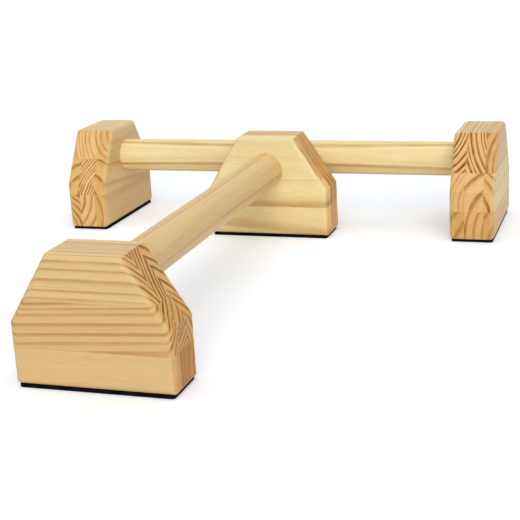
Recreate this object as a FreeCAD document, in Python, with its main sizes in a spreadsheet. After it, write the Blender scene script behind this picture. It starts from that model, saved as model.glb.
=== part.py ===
# A pair of low wooden parallettes, laid out as a T, in millimetres, +Z up.
#
# Each bar is a round pine grip whose ends are glued into blind mortises in two end blocks.
# An end block is a glued billet: three sawn boards stacked upwards, and each board is three
# staves glued face to face along the grip. The billet is sawn to a sloped profile, its two faces
# are rounded over, and it stands on a bonded rubber foot.
# The front bar runs along Y and the rear bar along X. The origin is on the floor, in the middle
# of the space that the pair takes up.

import FreeCAD, Part
import Sketcher
import enum
import os

# Driving dimensions, in millimetres
SIZES = {
    "overall_length": 500.0,  # one bar, from outer face to outer face
    "bar_diameter": 38.0,
    "bar_axis_drop": 36.5,  # from the top of a block down to the grip's axis
    "bar_end_chamfer": 1.5,
    "block_length": 138.0,  # at the base
    "block_top_length": 65.0,
    "block_height": 110.0,
    "shoulder_height": 52.5,  # from the base up to where the ends slope in
    "face_edge_radius": 5.5,  # the round-over along the outline of both faces
    "cross_edge_radius": 2.5,  # the edges that run from face to face
    "block_thickness": 48.0,  # along the grip
    "front_near_inner_stave": 17.0,
    "front_near_core_stave": 17.0,
    "front_far_inner_stave": 15.0,
    "front_far_core_stave": 18.0,
    "rear_left_inner_stave": 14.0,
    "rear_left_core_stave": 19.0,
    "rear_right_inner_stave": 16.0,
    "rear_right_core_stave": 20.5,
    "front_near_lower_board": 32.0,
    "front_near_middle_board": 39.5,
    "front_far_lower_board": 32.5,
    "front_far_middle_board": 31.0,
    "rear_left_lower_board": 39.0,
    "rear_left_middle_board": 39.5,
    "rear_right_lower_board": 30.5,
    "rear_right_middle_board": 40.0,
    "mortise_floor": 12.0,  # wood left behind the grip's end
    "glue_gap": 0.1,  # all round the grip in its mortise
    "foot_thickness": 3.0,
    "foot_inset": 2.0,  # from the block's sides
    "foot_corner_radius": 3.0,
    "bar_gap": 8.0,  # from the front bar's far block to the rear grip
}

STAVES = ("inner", "core", "outer")
BOARDS = ("lower", "middle", "upper")

# Places that follow from the driving dimensions
INNER_FACE = "(Sizes.overall_length / 2 - Sizes.block_thickness)"
BAR_AXIS = "(Sizes.block_height - Sizes.bar_axis_drop)"
HALF_DEPTH = (
    "(Sizes.overall_length + Sizes.bar_gap + Sizes.bar_diameter / 2 + Sizes.block_length / 2) / 2"
)
FRONT_CENTRE = f"(Sizes.overall_length / 2 - {HALF_DEPTH})"
REAR_CENTRE = f"({HALF_DEPTH} - Sizes.block_length / 2)"

UP = FreeCAD.Vector(0, 0, 1)
TO_RIGHT = FreeCAD.Vector(1, 0, 0)
TO_REAR = FreeCAD.Vector(0, 1, 0)  # each piece is modelled with the grip along this

# Each bar: the way that its grip runs, and its place along Y
BARS = {"front": (TO_REAR, FRONT_CENTRE), "rear": (TO_RIGHT, REAR_CENTRE)}

# Each block: the way that its outer face looks, and the place of its inner face
BLOCKS = {
    "front_near": (-TO_REAR, "0", f"{FRONT_CENTRE} - {INNER_FACE}"),
    "front_far": (TO_REAR, "0", f"{FRONT_CENTRE} + {INNER_FACE}"),
    "rear_left": (-TO_RIGHT, f"-{INNER_FACE}", REAR_CENTRE),
    "rear_right": (TO_RIGHT, INNER_FACE, REAR_CENTRE),
}


class Axis(enum.IntEnum):
    """A sketch's own axes, as its constraints number them."""

    X = -1
    Y = -2


class Point(enum.IntEnum):
    """The points of a sketch's edge, as its constraints number them. The X axis starts at the origin."""

    START = 1
    END = 2
    CENTRE = 3


def size_sheet(doc):
    """The sheet of driving dimensions, one alias for each."""
    sheet = doc.addObject("Spreadsheet::Sheet", "Sizes")
    for row, (alias, value) in enumerate(SIZES.items(), start=1):
        sheet.set(f"A{row}", alias)
        sheet.set(f"B{row}", str(value))
        sheet.setAlias(f"B{row}", alias)
    doc.recompute()
    return sheet


def bind(thing, **expressions):
    """Ties properties of an object to the sheet."""
    for name, expression in expressions.items():
        thing.setExpression(name, expression)


def place(thing, outward, x, y, z):
    """Turns an object's own Y axis to a level direction and ties its place to the sheet."""
    turn = FreeCAD.Rotation(outward.cross(UP), outward, UP, "ZYX")
    thing.Placement = FreeCAD.Placement(FreeCAD.Vector(), turn)
    for axis, expression in zip("xyz", (x, y, z)):
        thing.setExpression(f"Placement.Base.{axis}", expression)


def sketch_on(body, plane_role, name):
    """An empty sketch on one of a body's origin planes."""
    plane = next(p for p in body.Origin.OriginFeatures if p.Role == plane_role)
    sketch = body.newObject("Sketcher::SketchObject", name)
    sketch.AttachmentSupport = (plane, [""])
    sketch.MapMode = "FlatFace"
    return sketch


def dimension(sketch, name, constraint, expression):
    """A named sketch dimension, tied to the sheet."""
    index = sketch.addConstraint(constraint)
    sketch.renameConstraint(index, name)
    sketch.setExpression(f"Constraints.{name}", expression)


def closed_outline(sketch, points):
    """Straight edges through the points and back to the first, joined end to end."""
    vectors = [FreeCAD.Vector(x, y, 0) for x, y in points]
    for start, end in zip(vectors, vectors[1:] + vectors[:1]):
        sketch.addGeometry(Part.LineSegment(start, end))
    for edge in range(len(points)):
        following = (edge + 1) % len(points)
        sketch.addConstraint(
            Sketcher.Constraint("Coincident", edge, Point.END, following, Point.START)
        )


def runs_along(edge, direction):
    """Whether a straight edge is parallel to a direction."""
    return edge.Curve.Direction.cross(direction).Length < FreeCAD.Base.Precision.angular()


def profile_sketch(body):
    """The block seen along the grip: a flat base, upright shoulders, sloped ends and a flat top."""
    sketch = sketch_on(body, "XZ_Plane", "block_profile")
    base, top = SIZES["block_length"] / 2, SIZES["block_top_length"] / 2
    shoulder, height = SIZES["shoulder_height"], SIZES["block_height"]
    closed_outline(
        sketch,
        [(-base, 0), (base, 0), (base, shoulder), (top, height), (-top, height), (-base, shoulder)],
    )
    bottom_edge, right_side, right_slope, top_edge, left_slope, left_side = range(6)
    sketch.addConstraint(Sketcher.Constraint("PointOnObject", bottom_edge, Point.START, Axis.X))
    sketch.addConstraint(Sketcher.Constraint("Vertical", right_side))
    for left, right in (
        ((bottom_edge, Point.START), (bottom_edge, Point.END)),
        ((left_slope, Point.END), (right_slope, Point.START)),
        ((top_edge, Point.END), (top_edge, Point.START)),
    ):
        sketch.addConstraint(Sketcher.Constraint("Symmetric", *left, *right, Axis.Y))
    dimension(
        sketch,
        "base_length",
        Sketcher.Constraint("DistanceX", bottom_edge, Point.START, bottom_edge, Point.END, 2 * base),
        "Sizes.block_length",
    )
    dimension(
        sketch,
        "top_length",
        Sketcher.Constraint("DistanceX", top_edge, Point.END, top_edge, Point.START, 2 * top),
        "Sizes.block_top_length",
    )
    dimension(
        sketch,
        "shoulder",
        Sketcher.Constraint("DistanceY", right_side, Point.START, right_side, Point.END, shoulder),
        "Sizes.shoulder_height",
    )
    dimension(
        sketch,
        "height",
        Sketcher.Constraint("DistanceY", bottom_edge, Point.END, right_slope, Point.END, height),
        "Sizes.block_height",
    )
    return sketch


def shaped_block(doc, sheet):
    """The shape that every glued billet is cut to. Its inner face is at Y 0, its outer face at +Y."""
    body = doc.addObject("PartDesign::Body", "sawn_block")
    profile = profile_sketch(body)
    blank = body.newObject("PartDesign::Pad", "sawn_blank")
    blank.Profile = profile
    blank.Reversed = True
    bind(blank, Length="Sizes.block_thickness")
    doc.recompute()

    rounded = doc.addObject("Part::Fillet", "rounded_block")
    rounded.Base = body
    radii = []
    for number, edge in enumerate(body.Shape.Edges, start=1):
        crosses = runs_along(edge, TO_REAR)
        radius = sheet.cross_edge_radius if crosses else sheet.face_edge_radius
        radii.append((number, radius, radius))
    rounded.Edges = radii

    bore = doc.addObject("Part::Cylinder", "mortise_bore")
    bore.Placement.Rotation = FreeCAD.Rotation(UP, TO_REAR)
    bind(
        bore,
        Radius="Sizes.bar_diameter / 2 + Sizes.glue_gap",
        Height="Sizes.block_thickness - Sizes.mortise_floor",
    )
    bore.setExpression("Placement.Base.z", BAR_AXIS)

    block = doc.addObject("Part::Cut", "shaped_block")
    block.Base = rounded
    block.Tool = bore
    doc.recompute()
    if block.Shape.Volume >= rounded.Shape.Volume:
        raise RuntimeError("the mortise points away from the block and cuts nothing")
    return block


def layers(first, second, whole):
    """The start and the size of each of three layers, of which the last takes up what is left."""
    return ("0", first), (first, second), (f"{first} + {second}", f"{whole} - {first} - {second}")


def stave(doc, shape, block, board, layer):
    """One stave of a block: its own strip of the billet, cut to the block's shape."""
    name = f"{block}_block_{board}_{layer}_stave"
    boards = layers(
        f"Sizes.{block}_lower_board", f"Sizes.{block}_middle_board", "Sizes.block_height"
    )
    staves = layers(
        f"Sizes.{block}_inner_stave", f"Sizes.{block}_core_stave", "Sizes.block_thickness"
    )
    bottom, height = boards[BOARDS.index(board)]
    inner_side, thickness = staves[STAVES.index(layer)]
    strip = doc.addObject("Part::Box", f"{name}_strip")
    bind(strip, Length="Sizes.block_length", Width=thickness, Height=height)
    place(strip, TO_REAR, "-Sizes.block_length / 2", inner_side, bottom)

    piece = doc.addObject("Part::Common", name)
    piece.Base = shape
    piece.Tool = strip
    place(piece, *BLOCKS[block], "Sizes.foot_thickness")
    return piece


def rubber_foot(doc, block):
    """The rubber sheet bonded under a block, a little smaller than its base."""
    body = doc.addObject("PartDesign::Body", f"{block}_rubber_foot")
    sketch = sketch_on(body, "XY_Plane", f"{block}_foot_outline")
    half_length = SIZES["block_length"] / 2 - SIZES["foot_inset"]
    inner = SIZES["foot_inset"]
    outer = SIZES["block_thickness"] - SIZES["foot_inset"]
    closed_outline(
        sketch,
        [(-half_length, inner), (half_length, inner), (half_length, outer), (-half_length, outer)],
    )
    inner_edge, right_edge, outer_edge, left_edge = range(4)
    sketch.addConstraint(Sketcher.Constraint("Horizontal", outer_edge))
    for edge in (right_edge, left_edge):
        sketch.addConstraint(Sketcher.Constraint("Vertical", edge))
    sketch.addConstraint(
        Sketcher.Constraint("Symmetric", inner_edge, Point.START, inner_edge, Point.END, Axis.Y)
    )
    dimension(
        sketch,
        "foot_length",
        Sketcher.Constraint("DistanceX", inner_edge, Point.START, inner_edge, Point.END, 2 * half_length),
        "Sizes.block_length - 2 * Sizes.foot_inset",
    )
    dimension(
        sketch,
        "foot_start",
        Sketcher.Constraint("DistanceY", Axis.X, Point.START, inner_edge, Point.START, inner),
        "Sizes.foot_inset",
    )
    dimension(
        sketch,
        "foot_width",
        Sketcher.Constraint("DistanceY", right_edge, Point.START, right_edge, Point.END, outer - inner),
        "Sizes.block_thickness - 2 * Sizes.foot_inset",
    )
    sheet = body.newObject("PartDesign::Pad", f"{block}_foot_sheet")
    sheet.Profile = sketch
    bind(sheet, Length="Sizes.foot_thickness")
    doc.recompute()

    upright = [
        f"Edge{number}"
        for number, edge in enumerate(sheet.Shape.Edges, start=1)
        if runs_along(edge, UP)
    ]
    corners = body.newObject("PartDesign::Fillet", f"{block}_foot_corners")
    corners.Base = (sheet, upright)
    bind(corners, Radius="Sizes.foot_corner_radius")
    place(body, *BLOCKS[block], "0")
    return body


def grip(doc, bar):
    """The round bar that the hands hold, long enough to reach the floor of both mortises."""
    body = doc.addObject("PartDesign::Body", f"{bar}_grip")
    sketch = sketch_on(body, "XZ_Plane", f"{bar}_grip_section")
    radius = SIZES["bar_diameter"] / 2
    circle = sketch.addGeometry(Part.Circle(FreeCAD.Vector(), UP, radius))
    sketch.addConstraint(Sketcher.Constraint("Coincident", circle, Point.CENTRE, Axis.X, Point.START))
    dimension(
        sketch, "radius", Sketcher.Constraint("Radius", circle, radius), "Sizes.bar_diameter / 2"
    )
    rod = body.newObject("PartDesign::Pad", f"{bar}_grip_rod")
    rod.Profile = sketch
    rod.Midplane = True
    bind(rod, Length="Sizes.overall_length - 2 * Sizes.mortise_floor")
    doc.recompute()

    rims = [
        f"Edge{number}"
        for number, edge in enumerate(rod.Shape.Edges, start=1)
        if isinstance(edge.Curve, Part.Circle)
    ]
    eased = body.newObject("PartDesign::Chamfer", f"{bar}_grip_ends")
    eased.Base = (rod, rims)
    bind(eased, Size="Sizes.bar_end_chamfer")
    direction, centre = BARS[bar]
    place(body, direction, "0", centre, f"Sizes.foot_thickness + {BAR_AXIS}")
    return body


def check(doc, pieces):
    """Stops if anything in the document failed, or a piece isn't one sound solid."""
    for thing in doc.Objects:
        if {"Invalid", "Error"} & set(thing.State):
            raise RuntimeError(f"{thing.Label} failed: {thing.State}")
    for piece in pieces:
        shape = piece.Shape
        if shape.isNull() or not shape.isValid() or len(shape.Solids) != 1:
            raise RuntimeError(f"{piece.Label} isn't one sound solid")


def main():
    doc = FreeCAD.newDocument("parallettes")
    sheet = size_sheet(doc)
    shape = shaped_block(doc, sheet)
    pieces = [grip(doc, bar) for bar in BARS]
    for block in BLOCKS:
        pieces.append(rubber_foot(doc, block))
        for board in BOARDS:
            for layer in STAVES:
                pieces.append(stave(doc, shape, block, board, layer))
    doc.recompute()
    check(doc, pieces)
    os.makedirs("parts", exist_ok=True)
    for piece in pieces:
        piece.Shape.exportStep(f"parts/{piece.Label}.step")
    print(f"{len(pieces)} pieces written")


main()
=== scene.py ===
# Looks for a pair of laminated pine parallettes: wood, rubber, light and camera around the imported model.

import math
from collections import namedtuple

import bpy
from bpy.props import FloatProperty, FloatVectorProperty, PointerProperty
from mathutils import Matrix, Vector


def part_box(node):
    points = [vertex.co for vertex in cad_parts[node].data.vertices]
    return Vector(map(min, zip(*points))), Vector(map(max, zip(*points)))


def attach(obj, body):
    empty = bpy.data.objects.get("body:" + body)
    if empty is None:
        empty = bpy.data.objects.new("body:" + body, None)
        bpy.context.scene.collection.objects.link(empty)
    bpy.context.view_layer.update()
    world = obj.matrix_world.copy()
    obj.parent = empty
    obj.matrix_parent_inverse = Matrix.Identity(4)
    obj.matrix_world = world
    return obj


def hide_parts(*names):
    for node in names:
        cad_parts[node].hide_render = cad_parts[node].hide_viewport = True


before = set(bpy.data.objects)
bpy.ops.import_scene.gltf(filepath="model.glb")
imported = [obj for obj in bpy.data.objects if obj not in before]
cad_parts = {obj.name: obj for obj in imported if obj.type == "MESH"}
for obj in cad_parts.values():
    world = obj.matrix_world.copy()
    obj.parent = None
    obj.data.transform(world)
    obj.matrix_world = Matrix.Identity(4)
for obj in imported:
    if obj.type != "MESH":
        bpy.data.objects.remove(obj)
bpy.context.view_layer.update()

bl_info = {
    "name": "Laminated Parallettes",
    "version": (1, 0, 0),
    "blender": (4, 5, 0),
    "location": "View3D > Sidebar > Parallettes",
    "description": "Finishes a pair of wooden parallettes and lights them in a plain studio",
    "category": "Object",
}

MM = 0.001

# The end blocks, and the way that each one's outer face looks along its grip
OUTWARD = {"front_near": -1, "front_far": 1, "rear_left": -1, "rear_right": 1}
BLOCKS = tuple(OUTWARD)
BOARDS = ("lower", "middle", "upper")
STAVES = ("inner", "core", "outer")

# How a stave was sawn from its log, in millimetres. The heart of the log lies pith_out from the
# block's inner face, towards the outer one, and pith_up above the floor. Rings are ring apart, and
# one of them ends line away from the heart. Contrast is how dark the summer wood is, and tone goes
# from pale sapwood at 0 to orange heartwood at 1. Rise is the slope of the grain in degrees, late is
# how broad the summer wood is beside its usual share of a ring, and streaks is how much of the rings
# the planed faces show. Planed is how much further the tone of those faces goes than that of the ends.
Sawn = namedtuple(
    "Sawn",
    "pith_out pith_up ring line contrast tone rise late streaks planed",
    defaults=(0.0, 1.0, 1.0, 0.0),
)

# Each board's staves, from the inner to the outer one
STAVE_CUTS = {
    "front_near": {
        "lower": (
            Sawn(-40, 10, 9.0, 60, 0.45, 0.85),
            Sawn(-70, 24, 7.0, 90, 0.45, 0.90),
            Sawn(120, 20, 24.0, 64, 0.22, 0.42),
        ),
        "middle": (
            Sawn(63, 17, 6.0, 54, 0.90, 0.48),
            Sawn(68, 110, 5.0, 62, 0.95, 0.48),
            Sawn(-2, 15, 4.4, 75.5, 1.05, 0.46, rise=3.5, late=0.85, streaks=0.65),
        ),
        "upper": (
            Sawn(68, 20, 7.5, 94, 1.00, 0.30, streaks=0.5),
            Sawn(-63, 50, 4.2, 98, 1.05, 0.38, streaks=0.4),
            Sawn(108, 40, 5.0, 91.5, 1.00, 0.33, late=0.7, streaks=0.6),
        ),
    },
    "front_far": {
        "lower": (
            Sawn(30, 120, 37.0, 118, 0.55, 0.08, rise=-5.0),
            Sawn(-50, 20, 9.0, 74, 0.70, 0.35),
            Sawn(120, 15, 8.0, 80, 0.70, 0.35),
        ),
        "middle": (
            Sawn(0, 130, 34.0, 97, 0.85, 0.0),
            Sawn(-60, 50, 8.0, 84, 0.85, 0.60),
            Sawn(110, 55, 8.0, 70, 0.80, 0.60),
        ),
        "upper": (
            Sawn(-60, 88, 5.0, 59.5, 0.90, 0.0, streaks=0.12),
            Sawn(-80, 85, 6.0, 104, 0.85, 0.40),
            Sawn(120, 90, 6.5, 80, 0.80, 0.42),
        ),
    },
    "rear_left": {
        "lower": (
            Sawn(53, 18, 9.5, 49.5, 0.60, 0.46, streaks=0.4),
            Sawn(72, 44, 9.0, 48, 0.70, 0.15),
            Sawn(68, -3, 6.5, 44.3, 0.85, 0.40),
        ),
        "middle": (
            Sawn(25, 31, 14.5, 32.0, 0.95, 0.36, rise=-6.0, late=0.6, streaks=0.65),
            Sawn(-79, -2, 3.3, 122, 1.00, 0.10),
            Sawn(22, 38, 14.5, 30.5, 0.80, 0.28),
        ),
        "upper": (
            Sawn(-13, 113, 7.0, 22, 0.40, 0.34, streaks=0.3),
            Sawn(-13, 113, 6.5, 36, 0.42, 0.16, planed=0.16),
            Sawn(-13, 113, 5.5, 53, 0.42, 0.14, planed=0.16),
        ),
    },
    "rear_right": {
        "lower": (
            Sawn(68, -21, 12.0, 70, 0.65, 0.54),
            Sawn(85, 8, 10.0, 61, 0.70, 0.40),
            Sawn(86, -5, 13.0, 48, 0.50, 0.55, streaks=0.4),
        ),
        "middle": (
            Sawn(50, 40, 5.0, 42, 0.35, 0.25),
            Sawn(59, 25, 16.0, 41, 0.75, 0.18),
            Sawn(6, 30, 9.0, 39, 0.85, 0.30, streaks=0.4),
        ),
        "upper": (
            Sawn(-35, 125, 5.3, 50, 1.35, 0.19, streaks=0.8, planed=0.14),
            Sawn(102, 121, 4.6, 80, 1.00, 0.21, streaks=0.8, planed=0.14),
            Sawn(91, 81, 7.0, 48, 0.75, 0.48, streaks=0.5, planed=0.1),
        ),
    },
}

# The grips' logs, by the same numbers, but with the heart's place from the grip's own axis
GRIP_CUTS = {
    "front": Sawn(-35.2, -28.0, 12.0, 61.3, 0.50, 0.36, rise=0.3, late=0.4),
    "rear": Sawn(42.5, -14.7, 8.0, 62.6, 0.65, 0.0, late=0.7),
}
FIRST_GRIP_SEED = 200

# The pine's patterns, in millimetres across the grain. A fibre is 0.04 mm wide and a resin canal
# 0.2 mm. The canals here, and the fibres in the settings, are coarser so that they show at all.
WANDER_SIZE = 22.0
WANDER_REACH = 2.2
GROWTH_REACH = 5.0
SUMMER_WIDTH = 0.9
PATCH_SIZE = 7.0
FALSE_RING_SIZE = 1.6
CLOUD_SIZE = 9.0
CANAL_SIZE = 1.3

# A millimetre along the grain counts as this much of one, so that the patterns are drawn out
ALONG_GRAIN = 0.06

# Patches of a summer line are drawn out only a third as far
PATCH_STRETCH = (3.0, 1.0, 1.0)

# A year's course through its ring, from spring at 0 to winter at 1
RIPENING = {"From Min": 0.3, "From Max": 0.9}
WINTER = {"From Min": 0.88, "From Max": 1.0, "To Min": 1.0, "To Max": 0.0}
LEAST_SUMMER = 0.25
MOST_SUMMER = 0.5
SUMMER_SOFTNESS = 0.35

# The faintest line beside the strongest, and how often good and poor years change
WEAKEST_YEAR = 0.6
SPELLS_A_YEAR = 0.5

# How squarely a surface lies across the grain, from 0 on a planed face to 1 on an upright end. The
# blocks' slopes lie at 0.84.
SAWN_END = {"From Min": 0.55, "From Max": 0.84}
# PAST_SLOPE and BEFORE_UPRIGHT pick out the ends' rounded edges, which get a painted highlight
PAST_SLOPE = {"From Min": 0.86, "From Max": 0.92, "To Max": 0.2}
BEFORE_UPRIGHT = {"From Min": 0.95, "From Max": 0.995, "To Min": 1.0, "To Max": 0.0}

# Most of a noise's values lie in this span, about their middle
NOISE_SPAN = {"From Min": 0.3, "From Max": 0.7}
NOISE_MIDDLE = 0.5

# The patterns of the rubber and of the floor's paint, in millimetres
PEBBLE_SIZE = 0.8
DUST_SIZE = 14
ROLLER_SIZE = 25

# The feet are rounded in this many steps, and shaded smooth up to this angle
CORNER_STEPS = 6
EDGE_STEPS = 3
SMOOTH_ANGLE = math.radians(40)

# In metres. A side of a stave that isn't glued counts as far away
FAR = 1.0
FLOOR_SIZE = 12.0

# In millimetres
SENSOR_WIDTH = 36.0

WHITE = (1.0, 1.0, 1.0)

# The sockets of a node that mixes colours
FACTOR = 0
FIRST = 6
SECOND = 7
MIXED = 2

# What every colour property has
COLOUR = {"subtype": "COLOR", "min": 0.0, "max": 1.0}


def linear(code):
    """An sRGB hex colour as linear red, green and blue."""
    channels = [int(code[i : i + 2], 16) / 255 for i in (1, 3, 5)]
    return tuple(c / 12.92 if c <= 0.04045 else ((c + 0.055) / 1.055) ** 2.4 for c in channels)


def between(first, second, share):
    """A colour part of the way from one to another, opaque."""
    return (*(a + (b - a) * share for a, b in zip(first[:3], second[:3])), 1.0)


class PineSettings(bpy.types.PropertyGroup):
    """Colours and sizes of the wood."""

    spring_wood: FloatVectorProperty(
        name="Spring wood",
        description="Pale wood between the ring lines, on planed faces",
        default=linear("#F1DCA4"),
        **COLOUR,
    )
    ripe_wood: FloatVectorProperty(
        name="Ripe wood",
        description="Golden wood before the ring lines, on planed faces",
        default=linear("#DDBA68"),
        **COLOUR,
    )
    summer_wood: FloatVectorProperty(
        name="Summer wood",
        description="Dark ring lines on planed faces",
        default=linear("#B0763A"),
        **COLOUR,
    )
    end_spring_wood: FloatVectorProperty(
        name="End spring wood",
        description="Pale wood between the ring lines, on sawn ends",
        default=linear("#F2C784"),
        **COLOUR,
    )
    end_ripe_wood: FloatVectorProperty(
        name="End ripe wood",
        description="Golden wood before the ring lines, on sawn ends",
        default=linear("#D69A4E"),
        **COLOUR,
    )
    end_summer_wood: FloatVectorProperty(
        name="End summer wood",
        description="Dark ring lines on sawn ends",
        default=linear("#7C4410"),
        **COLOUR,
    )
    heartwood: FloatVectorProperty(
        name="Heartwood",
        description="Orange wood from near the heart of the log",
        default=linear("#BE7C2C"),
        **COLOUR,
    )
    glue: FloatVectorProperty(
        name="Glue line",
        description="Hairline of wood glue between two staves",
        default=linear("#B48A52"),
        **COLOUR,
    )
    fibre: FloatProperty(
        name="Fibre width",
        description="Width of a bundle of fibres",
        unit="LENGTH",
        min=0.0002,
        max=0.005,
        default=0.9 * MM,
    )
    glue_width: FloatProperty(
        name="Glue width",
        description="Half the width of a glue line, drawn a little wide so that it shows",
        unit="LENGTH",
        min=0.0001,
        max=0.002,
        default=0.35 * MM,
    )
    varnish: FloatProperty(
        name="Varnish",
        description="Weight of the clear coat",
        subtype="FACTOR",
        min=0.0,
        max=1.0,
        default=0.1,
    )


class FootSettings(bpy.types.PropertyGroup):
    """Colour and sizes of the rubber feet."""

    colour: FloatVectorProperty(
        name="Colour",
        description="Rubber colour",
        default=linear("#080808"),
        **COLOUR,
    )
    corner: FloatProperty(
        name="Corner radius",
        description="Radius of the sheet's corners, seen from above",
        unit="LENGTH",
        min=0.0005,
        max=0.01,
        default=3 * MM,
    )
    edge: FloatProperty(
        name="Edge radius",
        description="Radius of the worn top and bottom edges",
        unit="LENGTH",
        min=0.0001,
        max=0.0014,
        default=0.5 * MM,
    )


class StageSettings(bpy.types.PropertyGroup):
    """Light, floor and camera."""

    dome: FloatProperty(
        name="Dome",
        description="Strength of the even light from all round",
        min=0.0,
        max=2.0,
        default=0.25,
    )
    overhead: FloatProperty(
        name="Overhead lamp",
        description="Strength of the broad lamp straight above",
        min=0.0,
        max=10.0,
        default=1.4,
    )
    key: FloatProperty(
        name="Key lamp",
        description="Strength of the broad lamp beside the camera",
        min=0.0,
        max=10.0,
        default=1.42,
    )
    overhead_spread: FloatProperty(
        name="Overhead spread",
        description="How wide the overhead lamp looks from the object",
        subtype="ANGLE",
        default=math.radians(80),
    )
    key_spread: FloatProperty(
        name="Key spread",
        description="How wide the key lamp looks from the object",
        subtype="ANGLE",
        default=math.radians(45),
    )
    key_from: FloatVectorProperty(
        name="Key from",
        description="The way from the object to the key lamp",
        subtype="XYZ",
        default=(0.3, -0.8, 0.52),
    )
    ground_glow: FloatVectorProperty(
        name="Ground glow",
        description="What the floor adds for the camera, so that its lit part is white and its shade grey",
        default=linear("#66717E"),
        **COLOUR,
    )
    floor: FloatVectorProperty(
        name="Floor",
        description="Colour of the floor",
        default=linear("#FBFBFB"),
        **COLOUR,
    )
    camera_place: FloatVectorProperty(
        name="Camera place",
        description="Where the camera stands",
        subtype="TRANSLATION",
        unit="LENGTH",
        default=(0.40621, -1.06572, 0.35845),
    )
    heading: FloatProperty(
        name="Heading",
        description="Turn of the camera to the left of the rear bar's normal",
        subtype="ANGLE",
        default=math.radians(18.941),
    )
    pitch: FloatProperty(
        name="Pitch",
        description="How far the camera looks down",
        subtype="ANGLE",
        default=math.radians(16.662),
    )
    roll: FloatProperty(
        name="Roll",
        description="Turn of the camera about its own axis",
        subtype="ANGLE",
        default=math.radians(-3.226),
    )
    lens: FloatProperty(
        name="Lens",
        description="Focal length on a sensor 36 mm wide",
        unit="CAMERA",
        min=10.0,
        max=300.0,
        default=82.011,
    )


def add(tree, kind, inputs=None, **settings):
    """Adds a node with its settings. An input takes a value, or the output of another node."""
    node = tree.nodes.new(kind)
    for name, value in settings.items():
        setattr(node, name, value)
    for socket, value in (inputs or {}).items():
        if isinstance(value, bpy.types.NodeSocket):
            tree.links.new(value, node.inputs[socket])
        else:
            node.inputs[socket].default_value = value
    return node


def new_material(name):
    """An empty node material and its output node."""
    material = bpy.data.materials.new(name)
    material.use_nodes = True
    material.node_tree.nodes.clear()
    return material, add(material.node_tree, "ShaderNodeOutputMaterial")


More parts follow.
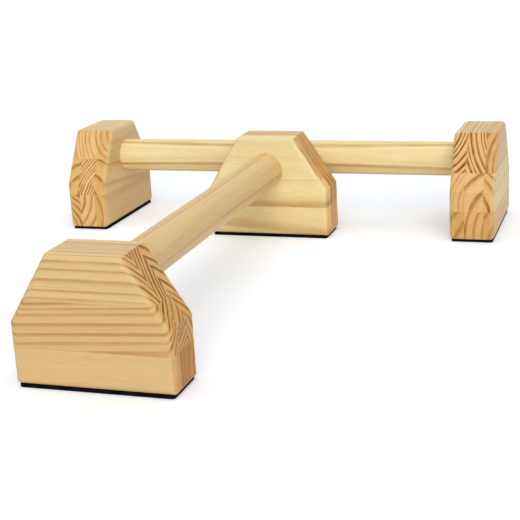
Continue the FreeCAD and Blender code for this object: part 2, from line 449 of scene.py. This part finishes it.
def ring_lines(tree, here, cut, seed):
    """How golden and how brown the wood is, from the heart of the log outwards.

    Each year starts with pale spring wood, ripens to gold and ends in a brown summer line, which stops
    short before the next spring. Trees wander, and years differ in growth and in the strength of their
    line.
    """
    wander = add(
        tree,
        "ShaderNodeTexNoise",
        {"Vector": here, "W": seed, "Scale": 1 / WANDER_SIZE, "Detail": 4.0, "Roughness": 0.4},
        noise_dimensions="4D",
    )
    radius = add(tree, "ShaderNodeVectorMath", {0: here}, operation="LENGTH")
    strayed = add(
        tree,
        "ShaderNodeMath",
        {0: wander.outputs["Fac"], 1: WANDER_REACH, 2: radius.outputs["Value"]},
        operation="MULTIPLY_ADD",
    )
    from_line = add(
        tree,
        "ShaderNodeMath",
        {0: strayed.outputs[0], 1: cut.line + WANDER_REACH * NOISE_MIDDLE},
        operation="SUBTRACT",
    )
    even_years = add(
        tree, "ShaderNodeMath", {0: from_line.outputs[0], 1: cut.ring}, operation="DIVIDE"
    )

    # Good and poor years come in spells, and make their rings wider or narrower
    spell = add(
        tree,
        "ShaderNodeMath",
        {0: even_years.outputs[0], 1: SPELLS_A_YEAR, 2: seed},
        operation="MULTIPLY_ADD",
    )
    growth = add(
        tree,
        "ShaderNodeTexNoise",
        {"W": spell.outputs[0], "Scale": 1.0, "Detail": 0.0},
        noise_dimensions="1D",
    )
    uneven = add(
        tree, "ShaderNodeMath", {0: growth.outputs["Fac"], 1: NOISE_MIDDLE}, operation="SUBTRACT"
    )
    years = add(
        tree,
        "ShaderNodeMath",
        {0: uneven.outputs[0], 1: min(1.0, GROWTH_REACH / cut.ring), 2: even_years.outputs[0]},
        operation="MULTIPLY_ADD",
    )
    year = add(tree, "ShaderNodeMath", {0: years.outputs[0], 1: seed}, operation="ADD")
    which = add(tree, "ShaderNodeMath", {0: year.outputs[0]}, operation="FLOOR")
    season = add(tree, "ShaderNodeMath", {0: years.outputs[0]}, operation="FRACT")
    weather = add(
        tree, "ShaderNodeTexWhiteNoise", {"W": which.outputs[0]}, noise_dimensions="1D"
    )
    vigour = add(
        tree,
        "ShaderNodeMapRange",
        {
            "Value": weather.outputs["Value"],
            "To Min": WEAKEST_YEAR * cut.contrast,
            "To Max": cut.contrast,
        },
    )

    # Summer wood takes up more of a narrow ring than of a wide one
    summer_share = cut.late * min(MOST_SUMMER, LEAST_SUMMER + SUMMER_WIDTH / cut.ring)
    ripening = add(
        tree,
        "ShaderNodeMapRange",
        {"Value": season.outputs[0], **RIPENING},
        interpolation_type="SMOOTHSTEP",
    )
    darkening = add(
        tree,
        "ShaderNodeMapRange",
        {
            "Value": season.outputs[0],
            "From Min": 1.0 - (1.0 + SUMMER_SOFTNESS) * summer_share,
            "From Max": 1.0 - (1.0 - SUMMER_SOFTNESS) * summer_share,
        },
        interpolation_type="SMOOTHSTEP",
    )
    winter = add(
        tree,
        "ShaderNodeMapRange",
        {"Value": season.outputs[0], **WINTER},
        interpolation_type="SMOOTHSTEP",
    )

    # A line is stronger or fainter from patch to patch
    patch_place = add(
        tree, "ShaderNodeVectorMath", {0: here, 1: PATCH_STRETCH}, operation="MULTIPLY"
    )
    patches = add(
        tree,
        "ShaderNodeTexNoise",
        {"Vector": patch_place.outputs[0], "W": seed, "Scale": 1 / PATCH_SIZE, "Detail": 1.0},
        noise_dimensions="4D",
    )
    patch = add(
        tree,
        "ShaderNodeMapRange",
        {"Value": patches.outputs["Fac"], **NOISE_SPAN, "To Min": 0.6, "To Max": 1.15},
    )
    even_strength = add(
        tree, "ShaderNodeMath", {0: winter.outputs[0], 1: vigour.outputs[0]}, operation="MULTIPLY"
    )
    strength = add(
        tree, "ShaderNodeMath", {0: even_strength.outputs[0], 1: patch.outputs[0]}, operation="MULTIPLY"
    )
    golden = add(
        tree, "ShaderNodeMath", {0: ripening.outputs[0], 1: strength.outputs[0]}, operation="MULTIPLY"
    )
    brown = add(
        tree, "ShaderNodeMath", {0: darkening.outputs[0], 1: strength.outputs[0]}, operation="MULTIPLY"
    )

    # Faint false rings, two or more to a year, where growth paused within it
    pauses = add(
        tree,
        "ShaderNodeMath",
        {0: years.outputs[0], 1: max(2, round(cut.ring / FALSE_RING_SIZE))},
        operation="MULTIPLY",
    )
    pause = add(tree, "ShaderNodeMath", {0: pauses.outputs[0]}, operation="FRACT")
    faint = add(
        tree,
        "ShaderNodeMapRange",
        {"Value": pause.outputs[0], **RIPENING, "To Max": 0.3},
        interpolation_type="SMOOTHSTEP",
    )
    gilded = add(
        tree,
        "ShaderNodeMath",
        {0: faint.outputs[0], 1: vigour.outputs[0], 2: golden.outputs[0]},
        operation="MULTIPLY_ADD",
        use_clamp=True,
    )
    return gilded.outputs[0], brown.outputs[0]


def ringed_wood(tree, colours, golden, brown):
    """Spring wood, golden wood and summer wood, mixed by the rings."""
    spring, ripe, summer = colours
    ripened = add(
        tree, "ShaderNodeMix", {FACTOR: golden, FIRST: spring, SECOND: ripe}, data_type="RGBA"
    )
    lined = add(
        tree,
        "ShaderNodeMix",
        {FACTOR: brown, FIRST: ripened.outputs[MIXED], SECOND: summer},
        data_type="RGBA",
    )
    return lined.outputs[MIXED]


def glue_seams(tree, here, glued, width):
    """Where glue shows: hairlines on the glued sides of a stave."""
    centre, reach = glued
    off_centre = add(tree, "ShaderNodeVectorMath", {0: here, 1: centre}, operation="SUBTRACT")
    aside = add(tree, "ShaderNodeVectorMath", {0: off_centre.outputs[0]}, operation="ABSOLUTE")
    inwards = add(
        tree, "ShaderNodeVectorMath", {0: reach, 1: aside.outputs[0]}, operation="SUBTRACT"
    )
    sides = add(tree, "ShaderNodeSeparateXYZ", {0: inwards.outputs[0]})
    nearer = add(
        tree, "ShaderNodeMath", {0: sides.outputs["X"], 1: sides.outputs["Y"]}, operation="MINIMUM"
    )
    nearest = add(
        tree, "ShaderNodeMath", {0: nearer.outputs[0], 1: sides.outputs["Z"]}, operation="MINIMUM"
    )
    seam = add(
        tree,
        "ShaderNodeMapRange",
        {"Value": nearest.outputs[0], "From Max": width, "To Min": 0.5, "To Max": 0.0},
        interpolation_type="SMOOTHSTEP",
    )
    return seam.outputs[0]


def varnished_pine(name, pine, cut, pith, turn, glued, seed):
    """Planed and sawn pine under a thin satin varnish.

    The rings of the log run right through the stave, so they are straight streaks on the planed
    faces and arcs on the sawn ends, which drink the varnish and are darker and duller.
    """
    material, output = new_material(name)
    tree = material.node_tree
    place = add(tree, "ShaderNodeTexCoord")
    log = add(
        tree,
        "ShaderNodeMapping",
        {
            "Vector": place.outputs["Object"],
            "Location": pith,
            "Rotation": (0.0, -math.radians(cut.rise), turn),
            "Scale": (MM / ALONG_GRAIN, MM, MM),
        },
        vector_type="TEXTURE",
    )
    here = log.outputs["Vector"]
    golden, brown = ring_lines(tree, here, cut, seed)

    # Sawn ends face along the grain
    grain = (math.cos(turn), math.sin(turn), 0.0)
    facing = add(
        tree,
        "ShaderNodeVectorMath",
        {0: place.outputs["Normal"], 1: grain},
        operation="DOT_PRODUCT",
    )
    along = add(tree, "ShaderNodeMath", {0: facing.outputs["Value"]}, operation="ABSOLUTE")
    end = add(
        tree,
        "ShaderNodeMapRange",
        {"Value": along.outputs[0], **SAWN_END},
        interpolation_type="SMOOTHSTEP",
    )
    face_tone = cut.tone + cut.planed
    face_spring = between(pine.spring_wood, pine.heartwood, face_tone)
    face_ripe = between(pine.ripe_wood, pine.heartwood, face_tone)
    face_colours = (
        face_spring,
        between(face_spring, face_ripe, cut.streaks),
        between(face_spring, pine.summer_wood, cut.streaks),
    )
    end_colours = (
        between(pine.end_spring_wood, pine.heartwood, cut.tone),
        between(pine.end_ripe_wood, pine.heartwood, cut.tone),
        (*pine.end_summer_wood, 1.0),
    )
    wood = add(
        tree,
        "ShaderNodeMix",
        {
            FACTOR: end.outputs[0],
            FIRST: ringed_wood(tree, face_colours, golden, brown),
            SECOND: ringed_wood(tree, end_colours, golden, brown),
        },
        data_type="RGBA",
    )

    # The ends' rounded edges get a painted highlight: their colour is mixed a little towards pale spring
    # wood
    rounding = add(
        tree,
        "ShaderNodeMapRange",
        {"Value": along.outputs[0], **PAST_SLOPE},
        interpolation_type="SMOOTHSTEP",
    )
    turning = add(
        tree,
        "ShaderNodeMapRange",
        {"Value": along.outputs[0], **BEFORE_UPRIGHT},
        interpolation_type="SMOOTHSTEP",
    )
    painted_highlight = add(
        tree, "ShaderNodeMath", {0: rounding.outputs[0], 1: turning.outputs[0]}, operation="MULTIPLY"
    )
    edge_highlighted = add(
        tree,
        "ShaderNodeMix",
        {FACTOR: painted_highlight.outputs[0], FIRST: wood.outputs[MIXED], SECOND: (*pine.spring_wood, 1.0)},
        data_type="RGBA",
    )

    # Fibres, clouds and resin canals shade the wood
    fibres = add(
        tree,
        "ShaderNodeTexNoise",
        {"Vector": here, "Scale": MM / pine.fibre, "Detail": 2.0, "Roughness": 0.6},
    )
    clouds = add(
        tree,
        "ShaderNodeTexNoise",
        {"Vector": here, "W": seed, "Scale": 1 / CLOUD_SIZE, "Detail": 2.0},
        noise_dimensions="4D",
    )
    fleck = add(
        tree,
        "ShaderNodeMapRange",
        {
            "Value": fibres.outputs["Fac"],
            "From Min": 0.25,
            "From Max": 0.75,
            "To Min": 0.93,
            "To Max": 1.05,
        },
    )
    cloud = add(
        tree,
        "ShaderNodeMapRange",
        {"Value": clouds.outputs["Fac"], **NOISE_SPAN, "To Min": 0.94, "To Max": 1.04},
    )
    canals = add(
        tree,
        "ShaderNodeTexNoise",
        {"Vector": here, "W": seed, "Scale": 1 / CANAL_SIZE, "Detail": 0.0},
        noise_dimensions="4D",
    )
    canal = add(
        tree,
        "ShaderNodeMapRange",
        {
            "Value": canals.outputs["Fac"],
            "From Min": 0.66,
            "From Max": 0.8,
            "To Min": 1.0,
            "To Max": 0.92,
        },
    )
    mottled = add(
        tree, "ShaderNodeMath", {0: fleck.outputs[0], 1: cloud.outputs[0]}, operation="MULTIPLY"
    )
    shade = add(
        tree, "ShaderNodeMath", {0: mottled.outputs[0], 1: canal.outputs[0]}, operation="MULTIPLY"
    )
    flecked = add(
        tree,
        "ShaderNodeMix",
        {FACTOR: 1.0, FIRST: edge_highlighted.outputs[MIXED], SECOND: shade.outputs[0]},
        data_type="RGBA",
        blend_type="MULTIPLY",
    )
    colour = add(
        tree,
        "ShaderNodeMix",
        {
            FACTOR: glue_seams(tree, place.outputs["Object"], glued, pine.glue_width),
            FIRST: flecked.outputs[MIXED],
            SECOND: (*pine.glue, 1.0),
        },
        data_type="RGBA",
    )

    # Summer wood is harder and stands a little proud of the sanded spring wood
    relief = add(
        tree,
        "ShaderNodeMath",
        {0: fibres.outputs["Fac"], 1: 0.35, 2: brown},
        operation="MULTIPLY_ADD",
    )
    bump = add(
        tree,
        "ShaderNodeBump",
        {"Height": relief.outputs[0], "Strength": 0.25, "Distance": 0.12 * MM},
    )
    gloss = add(
        tree,
        "ShaderNodeMapRange",
        {"Value": end.outputs[0], "To Min": 0.45, "To Max": 0.6},
    )
    shader = add(
        tree,
        "ShaderNodeBsdfPrincipled",
        {
            "Base Color": colour.outputs[MIXED],
            "Roughness": gloss.outputs[0],
            "Normal": bump.outputs[0],
            "IOR": 1.5,
            "Specular IOR Level": 0.25,
            "Coat Weight": pine.varnish,
            "Coat Roughness": 0.35,
            "Coat IOR": 1.5,
        },
    )
    tree.links.new(shader.outputs[0], output.inputs["Surface"])
    return material


def cut_rubber(name, foot):
    """Black sheet rubber, calendered and die-cut: a dull skin with a fine pebble and a bloom of dust."""
    material, output = new_material(name)
    tree = material.node_tree
    place = add(tree, "ShaderNodeTexCoord")
    pebble = add(
        tree,
        "ShaderNodeTexNoise",
        {"Vector": place.outputs["Object"], "Scale": 1.0 / (PEBBLE_SIZE * MM), "Detail": 2.0},
    )
    dust = add(
        tree,
        "ShaderNodeTexNoise",
        {"Vector": place.outputs["Object"], "Scale": 1.0 / (DUST_SIZE * MM), "Detail": 3.0},
    )
    bloom = add(
        tree,
        "ShaderNodeMapRange",
        {"Value": dust.outputs["Fac"], "From Min": 0.4, "From Max": 0.75, "To Min": 0.0, "To Max": 0.25},
    )
    grey = between(foot.colour, WHITE, 0.03)
    colour = add(
        tree,
        "ShaderNodeMix",
        {FACTOR: bloom.outputs[0], FIRST: (*foot.colour, 1.0), SECOND: grey},
        data_type="RGBA",
    )
    bump = add(
        tree,
        "ShaderNodeBump",
        {"Height": pebble.outputs["Fac"], "Strength": 0.4, "Distance": 0.1 * MM},
    )
    gloss = add(
        tree, "ShaderNodeMapRange", {"Value": pebble.outputs["Fac"], "To Min": 0.7, "To Max": 0.95}
    )
    shader = add(
        tree,
        "ShaderNodeBsdfPrincipled",
        {
            "Base Color": colour.outputs[MIXED],
            "Roughness": gloss.outputs[0],
            "Normal": bump.outputs[0],
            "IOR": 1.52,
            "Specular IOR Level": 0.04,
        },
    )
    tree.links.new(shader.outputs[0], output.inputs["Surface"])
    return material


def shown_rays(tree):
    """1 for what the camera sees, straight or in a reflection or through glass, and 0 for other light."""
    rays = add(tree, "ShaderNodeLightPath")
    seen = add(
        tree,
        "ShaderNodeMath",
        {0: rays.outputs["Is Camera Ray"], 1: rays.outputs["Is Glossy Ray"]},
        operation="MAXIMUM",
    )
    shown = add(
        tree,
        "ShaderNodeMath",
        {0: seen.outputs[0], 1: rays.outputs["Is Transmission Ray"]},
        operation="MAXIMUM",
    )
    return shown.outputs[0]


def painted_floor(stage):
    """Matt white studio floor, rolled on: an even pale ground that keeps the shadows."""
    material, output = new_material("matt_white_floor")
    tree = material.node_tree
    place = add(tree, "ShaderNodeTexCoord")
    roller = add(
        tree,
        "ShaderNodeTexNoise",
        {"Vector": place.outputs["Object"], "Scale": 1.0 / (ROLLER_SIZE * MM), "Detail": 2.0},
    )
    colour = add(
        tree,
        "ShaderNodeMix",
        {
            FACTOR: roller.outputs["Fac"],
            FIRST: (*stage.floor, 1.0),
            SECOND: between(stage.floor, WHITE, 0.2),
        },
        data_type="RGBA",
    )
    paint = add(tree, "ShaderNodeBsdfDiffuse", {"Color": colour.outputs[MIXED]})
    glow = add(
        tree,
        "ShaderNodeEmission",
        {"Color": (*stage.ground_glow, 1.0), "Strength": shown_rays(tree)},
    )
    ground = add(tree, "ShaderNodeAddShader", {0: paint.outputs[0], 1: glow.outputs[0]})
    tree.links.new(ground.outputs[0], output.inputs["Surface"])
    return material


def white_dome(stage):
    """Even light from all round, which looks white to the camera and in reflections."""
    world = bpy.data.worlds.new("white_dome")
    world.use_nodes = True
    tree = world.node_tree
    tree.nodes.clear()
    output = add(tree, "ShaderNodeOutputWorld")
    strength = add(
        tree,
        "ShaderNodeMapRange",
        {"Value": shown_rays(tree), "To Min": stage.dome, "To Max": 1.0},
    )
    sky = add(
        tree,
        "ShaderNodeBackground",
        {"Color": (*WHITE, 1.0), "Strength": strength.outputs[0]},
    )
    tree.links.new(sky.outputs[0], output.inputs["Surface"])
    return world


def dress(node_name, material):
    """Gives a node of the frame a material of its own."""
    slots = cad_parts[node_name].material_slots
    for slot in slots:
        slot.material = material


def bar_of(block):
    """The bar that a block belongs to."""
    return block.split("_")[0]


def grip_axis(bar):
    """The axis that a bar's grip runs along, 0 for X or 1 for Y. Its blocks' grain runs along the other."""
    return 1 if bar == "front" else 0


def turn_to(axis):
    """The turn about Z from X to an axis."""
    return axis * math.pi / 2


def block_box(block):
    """The lowest and highest corners of a whole block."""
    corners = [
        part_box(f"{block}_block_{board}_{stave}_stave") for board in BOARDS for stave in STAVES
    ]
    low = Vector([min(lo[i] for lo, hi in corners) for i in range(3)])
    high = Vector([max(hi[i] for lo, hi in corners) for i in range(3)])
    return low, high


def stave_pith(block, cut):
    """The heart of a stave's log, level with the middle of its block."""
    low, high = block_box(block)
    across = grip_axis(bar_of(block))
    outward = OUTWARD[block]
    inner_face = low[across] if outward > 0 else high[across]
    pith = (low + high) / 2
    pith[across] = inner_face + outward * cut.pith_out * MM
    pith.z = cut.pith_up * MM
    return pith


def glued_sides(block, board, stave):
    """The middle of a stave and its reach to its glued sides. Its free sides are put far away."""
    low, high = (corner.copy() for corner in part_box(f"{block}_block_{board}_{stave}_stave"))
    across = grip_axis(bar_of(block))
    along = 1 - across
    low[along] -= FAR
    high[along] += FAR
    if board == "lower":
        low.z -= FAR
    if board == "upper":
        high.z += FAR
    free_high = (stave == "outer") == (OUTWARD[block] > 0)
    if stave != "core":
        if free_high:
            high[across] += FAR
        else:
            low[across] -= FAR
    return (low + high) / 2, (high - low) / 2


class PARALLETTES_OT_blocks(bpy.types.Operator):
    """Finish every stave of the four end blocks in varnished pine"""

    bl_idname = "parallettes.blocks"
    bl_label = "Finish blocks"

    def execute(self, context):
        seed = 0
        for block in BLOCKS:
            turn = turn_to(1 - grip_axis(bar_of(block)))
            for board in BOARDS:
                for stave, cut in zip(STAVES, STAVE_CUTS[block][board]):
                    seed += 1
                    material = varnished_pine(
                        f"varnished_pine_{block}_{board}_{stave}",
                        context.scene.pine,
                        cut,
                        stave_pith(block, cut),
                        turn,
                        glued_sides(block, board, stave),
                        seed,
                    )
                    dress(f"{block}_block_{board}_{stave}_stave", material)
        return {"FINISHED"}


class PARALLETTES_OT_grips(bpy.types.Operator):
    """Finish the two round grips in varnished pine"""

    bl_idname = "parallettes.grips"
    bl_label = "Finish grips"

    def execute(self, context):
        for number, (bar, cut) in enumerate(GRIP_CUTS.items()):
            low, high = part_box(f"{bar}_grip")
            centre = (low + high) / 2
            along = grip_axis(bar)
            pith = centre.copy()
            pith[1 - along] += cut.pith_out * MM
            pith.z += cut.pith_up * MM
            no_glue = (centre, Vector((FAR, FAR, FAR)))
            material = varnished_pine(
                f"varnished_pine_{bar}_grip",
                context.scene.pine,
                cut,
                pith,
                turn_to(along),
                no_glue,
                FIRST_GRIP_SEED + number,
            )
            dress(f"{bar}_grip", material)
        return {"FINISHED"}


def upright(way):
    """Whether a direction is close to straight up or down."""
    return abs(way.z) > 0.9


def level(way):
    """Whether a direction is close to level."""
    return abs(way.z) < 0.1


def bevel_edges(piece, wanted, radius, segments, rim_only=False):
    """Rounds the edges of a piece whose direction is wanted. A rim lies between a flat face and a side."""
    bpy.ops.object.mode_set(mode="EDIT")
    bpy.ops.mesh.select_mode(type="EDGE")
    bpy.ops.mesh.select_all(action="DESELECT")
    bpy.ops.object.mode_set(mode="OBJECT")
    mesh = piece.data
    flat_edges = set()
    for face in mesh.polygons:
        if upright(face.normal):
            flat_edges.update(face.edge_keys)
    for edge in mesh.edges:
        start, end = (mesh.vertices[i].co for i in edge.vertices)
        on_rim = edge.key in flat_edges
        edge.select = wanted((end - start).normalized()) and (on_rim or not rim_only)
    bpy.ops.object.mode_set(mode="EDIT")
    bpy.ops.mesh.bevel(offset=radius, offset_type="OFFSET", segments=segments, affect="EDGES")
    bpy.ops.object.mode_set(mode="OBJECT")


class PARALLETTES_OT_feet(bpy.types.Operator):
    """Model the rubber sheet under each block, with rounded corners and worn edges"""

    bl_idname = "parallettes.feet"
    bl_label = "Model feet"

    def execute(self, context):
        foot = context.scene.rubber_foot
        material = cut_rubber("die_cut_black_rubber", foot)
        for block in BLOCKS:
            low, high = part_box(f"{block}_rubber_foot")
            bpy.ops.object.select_all(action="DESELECT")
            bpy.ops.mesh.primitive_cube_add(
                size=1.0, location=(low + high) / 2, scale=high - low
            )
            piece = context.object
            piece.name = f"{block}_foot_sheet"
            bpy.ops.object.transform_apply(location=True, rotation=True, scale=True)
            bevel_edges(piece, upright, foot.corner, CORNER_STEPS)
            bevel_edges(piece, level, foot.edge, EDGE_STEPS, rim_only=True)
            bpy.ops.object.shade_smooth_by_angle(angle=SMOOTH_ANGLE)
            piece.data.materials.append(material)
            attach(piece, f"{bar_of(block)}_bar")
            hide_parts(f"{block}_rubber_foot")
        return {"FINISHED"}


class PARALLETTES_OT_stage(bpy.types.Operator):
    """Lay the floor, light the studio and set up the camera"""

    bl_idname = "parallettes.stage"
    bl_label = "Set the stage"

    def execute(self, context):
        stage = context.scene.studio
        bpy.ops.object.select_all(action="DESELECT")
        bpy.ops.mesh.primitive_plane_add(size=FLOOR_SIZE)
        floor = context.object
        floor.name = "studio_floor"
        floor.data.materials.append(painted_floor(stage))

        context.scene.world = white_dome(stage)

        straight_up = (0.0, 0.0, 1.0)
        lamps = (
            ("broad_key", stage.key, stage.key_from, stage.key_spread),
            ("overhead", stage.overhead, straight_up, stage.overhead_spread),
        )
        for name, strength, way, spread in lamps:
            light = bpy.data.lights.new(name, "SUN")
            light.energy = strength
            light.angle = spread
            lamp = bpy.data.objects.new(name, light)
            context.collection.objects.link(lamp)
            lamp.rotation_euler = Vector(way).to_track_quat("Z", "Y").to_euler()

        sensor = bpy.data.cameras.new("photo_camera")
        sensor.sensor_fit = "HORIZONTAL"
        sensor.sensor_width = SENSOR_WIDTH
        sensor.lens = stage.lens
        sensor.dof.use_dof = False
        camera = bpy.data.objects.new("photo_camera", sensor)
        context.collection.objects.link(camera)
        turn = (
            Matrix.Rotation(stage.heading, 4, "Z")
            @ Matrix.Rotation(math.pi / 2 - stage.pitch, 4, "X")
            @ Matrix.Rotation(stage.roll, 4, "Z")
        )
        camera.matrix_world = Matrix.Translation(stage.camera_place) @ turn
        context.scene.camera = camera
        context.scene.view_settings.view_transform = "Standard"
        return {"FINISHED"}


class PARALLETTES_PT_panel(bpy.types.Panel):
    """Lists the steps and their settings"""

    bl_label = "Parallettes"
    bl_idname = "PARALLETTES_PT_panel"
    bl_space_type = "VIEW_3D"
    bl_region_type = "UI"
    bl_category = "Parallettes"

    def draw(self, context):
        for operator, group in STEPS:
            self.layout.operator(operator.bl_idname)
            settings = getattr(context.scene, group)
            for name in settings.bl_rna.properties.keys():
                if name not in ("rna_type", "name"):
                    self.layout.prop(settings, name)


GROUPS = {"pine": PineSettings, "rubber_foot": FootSettings, "studio": StageSettings}
STEPS = (
    (PARALLETTES_OT_blocks, "pine"),
    (PARALLETTES_OT_grips, "pine"),
    (PARALLETTES_OT_feet, "rubber_foot"),
    (PARALLETTES_OT_stage, "studio"),
)
CLASSES = (*GROUPS.values(), *(operator for operator, group in STEPS), PARALLETTES_PT_panel)


def register():
    for cls in CLASSES:
        bpy.utils.register_class(cls)
    for name, group in GROUPS.items():
        setattr(bpy.types.Scene, name, PointerProperty(type=group))


def unregister():
    for name in GROUPS:
        delattr(bpy.types.Scene, name)
    for cls in reversed(CLASSES):
        bpy.utils.unregister_class(cls)


def main():
    register()
    bpy.ops.parallettes.blocks()
    bpy.ops.parallettes.grips()
    bpy.ops.parallettes.feet()
    bpy.ops.parallettes.stage()


if __name__ == "__main__":
    main()
